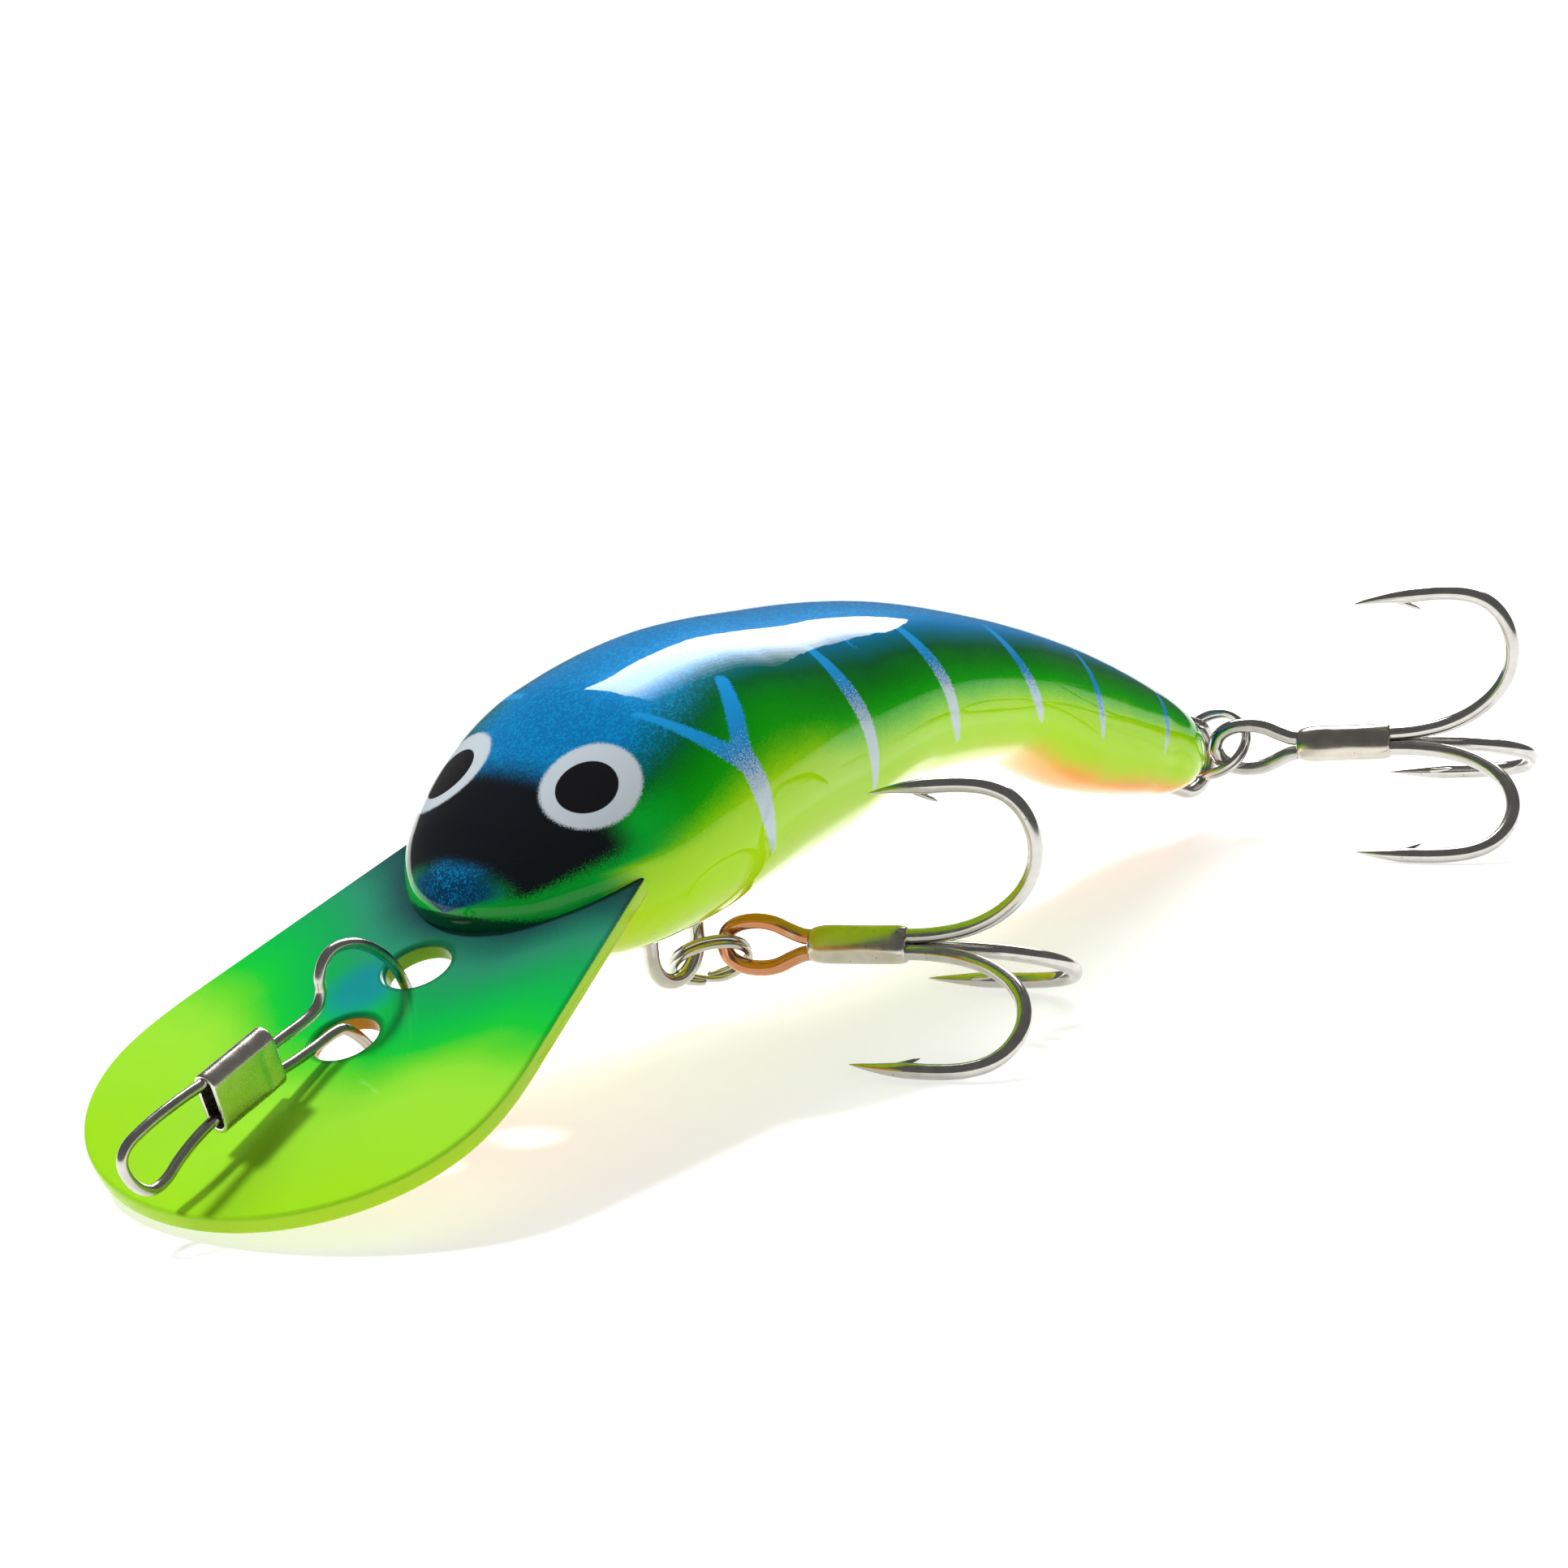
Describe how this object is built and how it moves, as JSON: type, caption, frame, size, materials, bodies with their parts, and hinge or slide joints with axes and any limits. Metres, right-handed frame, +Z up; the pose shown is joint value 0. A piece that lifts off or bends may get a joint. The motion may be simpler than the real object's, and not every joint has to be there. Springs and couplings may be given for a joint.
{
  "type": "fishing lure",
  "caption": "Banana-shaped hollow diving crankbait lure with a long front bib, a wire line link, split rings and swinging treble hooks.",
  "frame": {"origin": "middle of the front loop of the line link, where the fishing line ties on", "axes": "+X runs from the front to the tail, +Y to the lure's right flank, +Z up; y = 0 is the symmetry plane of the body and bib"},
  "size_m": [0.1435, 0.0458, 0.032],
  "materials": {
    "body_paint": "clear-coated airbrushed paint, blue back to lime belly",
    "bib_paint": "gloss paint, teal to lime",
    "nickel": "bright nickel plate",
    "link_steel": "satin drawn wire",
    "weight": "plain turned steel",
    "ball_steel": "polished steel"
  },
  "bodies": {
    "lure_body": {"left_shell": "body_paint", "right_shell": "body_paint", "bib": "bib_paint", "belly_hanger": "nickel", "tail_hanger": "nickel", "ballast": "weight"},
    "front_ball": {"rattle_ball_front": "ball_steel"},
    "rear_ball": {"rattle_ball_rear": "ball_steel"},
    "belly_ring": {"belly_split_ring": "nickel"},
    "belly_treble": {"belly_treble_double": "nickel", "belly_treble_single": "nickel"},
    "tail_ring": {"tail_split_ring": "nickel"},
    "tail_treble": {"tail_treble_double": "nickel", "tail_treble_single": "nickel"},
    "line_link": {"link_wire": "link_steel", "link_sleeve": "link_steel"}
  },
  "joints": [
    {"name": "link_swing", "type": "hinge", "parent": "lure_body", "child": "line_link", "pos_m": [0.02383, 0, 0.00383], "axis": [0, 1, 0], "range_deg": [-1, 60]},
    {"name": "belly_ring_swing", "type": "hinge", "parent": "lure_body", "child": "belly_ring", "pos_m": [0.05455, 0, -0.0029], "axis": [1, 0, 0], "range_deg": [-1, 60]},
    {"name": "belly_treble_swing", "type": "hinge", "parent": "belly_ring", "child": "belly_treble", "pos_m": [0.0577, -0.00067, -0.00215], "axis": [0.4172, 0.5617, 0.7145], "range_deg": [-3, 45]},
    {"name": "tail_ring_swing", "type": "hinge", "parent": "lure_body", "child": "tail_ring", "pos_m": [0.11825, 0, -0.00505], "axis": [1, 0, 0], "range_deg": [-1.5, 14]},
    {"name": "tail_treble_swing", "type": "hinge", "parent": "tail_ring", "child": "tail_treble", "pos_m": [0.12069, -0.00058, -0.00162], "axis": [-0.6837, -0.0682, 0.7266], "range_deg": [-15, 25]},
    {"name": "front_ball_roll", "type": "slide", "parent": "lure_body", "child": "front_ball", "axis": [1, 0, 0], "range_m": [0, 0.0018]},
    {"name": "rear_ball_roll", "type": "slide", "parent": "lure_body", "child": "rear_ball", "axis": [-1, 0, 0], "range_m": [0, 0.0018]}
  ]
}
